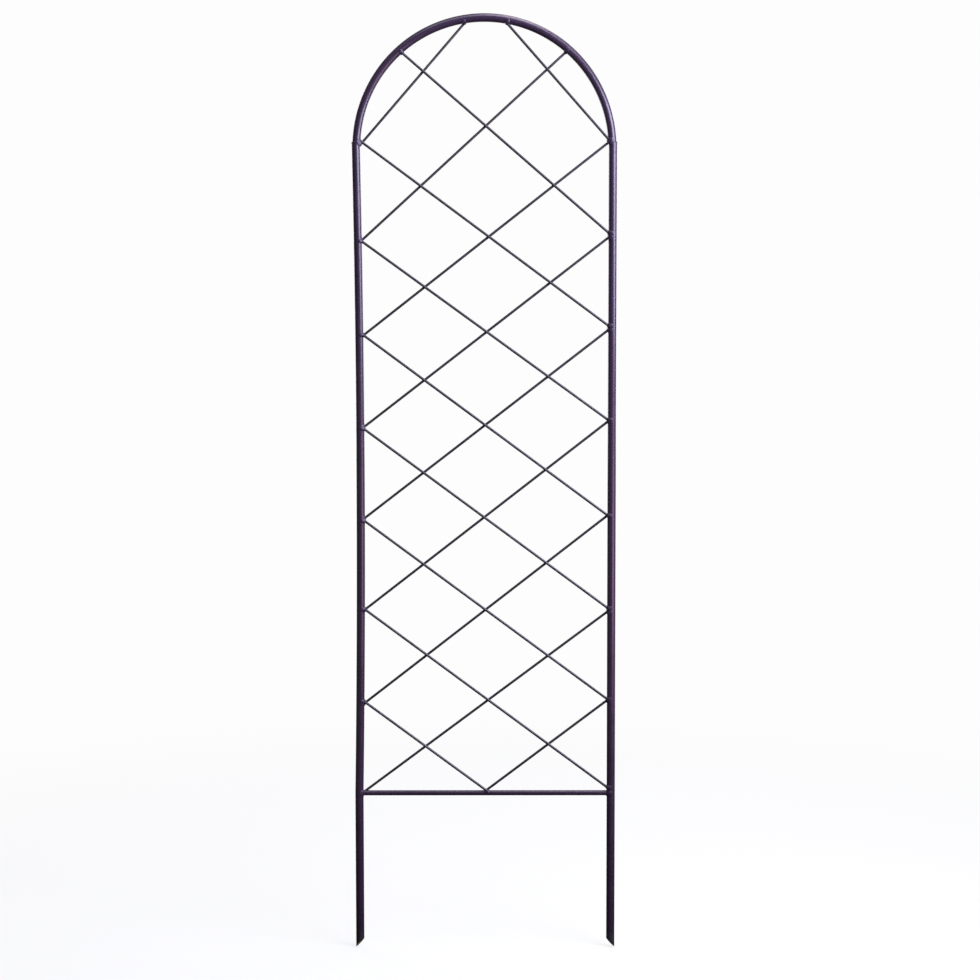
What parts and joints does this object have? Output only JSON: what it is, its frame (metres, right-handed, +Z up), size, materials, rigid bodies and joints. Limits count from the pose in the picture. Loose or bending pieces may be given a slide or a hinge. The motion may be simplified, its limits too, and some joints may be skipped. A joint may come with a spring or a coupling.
{
  "type": "metal garden trellis",
  "caption": "Round-top tubular steel trellis with a welded diamond lattice of round rod and two pointed legs that push into the soil.",
  "frame": {"origin": "on the soil line, midway between the legs and in the middle of the frame's thickness", "axes": "+Z up along the posts, +X to the right seen from the front, +Y towards the back"},
  "size_m": [0.5064, 0.0176, 1.8],
  "materials": {
    "frame_coat": "satin plum stove coating",
    "rod_coat": "satin plum stove coating",
    "weld_coat": "satin plum stove coating over weld metal"
  },
  "bodies": {
    "root": {"arch_hoop": "frame_coat", "left_post": "frame_coat", "right_post": "frame_coat", "bottom_rail": "frame_coat", "falling_rod_1": "rod_coat", "falling_rod_2": "rod_coat", "falling_rod_3": "rod_coat", "falling_rod_4": "rod_coat", "falling_rod_5": "rod_coat", "falling_rod_6": "rod_coat", "falling_rod_7": "rod_coat", "falling_rod_8": "rod_coat", "falling_rod_9": "rod_coat", "rising_rod_1": "rod_coat", "rising_rod_2": "rod_coat", "rising_rod_3": "rod_coat", "rising_rod_4": "rod_coat", "rising_rod_5": "rod_coat", "rising_rod_6": "rod_coat", "rising_rod_7": "rod_coat", "rising_rod_8": "rod_coat", "rising_rod_9": "rod_coat", "hoop_weld_left_crown": "weld_coat", "hoop_weld_left_shoulder": "weld_coat", "hoop_weld_right_crown": "weld_coat", "hoop_weld_right_shoulder": "weld_coat", "seam_weld_left": "weld_coat", "seam_weld_right": "weld_coat", "post_weld_left_2": "weld_coat", "post_weld_left_3": "weld_coat", "post_weld_left_4": "weld_coat", "post_weld_left_5": "weld_coat", "post_weld_left_6": "weld_coat", "post_weld_left_7": "weld_coat", "post_weld_right_2": "weld_coat", "post_weld_right_3": "weld_coat", "post_weld_right_4": "weld_coat", "post_weld_right_5": "weld_coat", "post_weld_right_6": "weld_coat", "post_weld_right_7": "weld_coat", "rail_weld_left": "weld_coat", "rail_weld_right": "weld_coat", "rail_weld_centre": "weld_coat"}
  },
  "joints": []
}
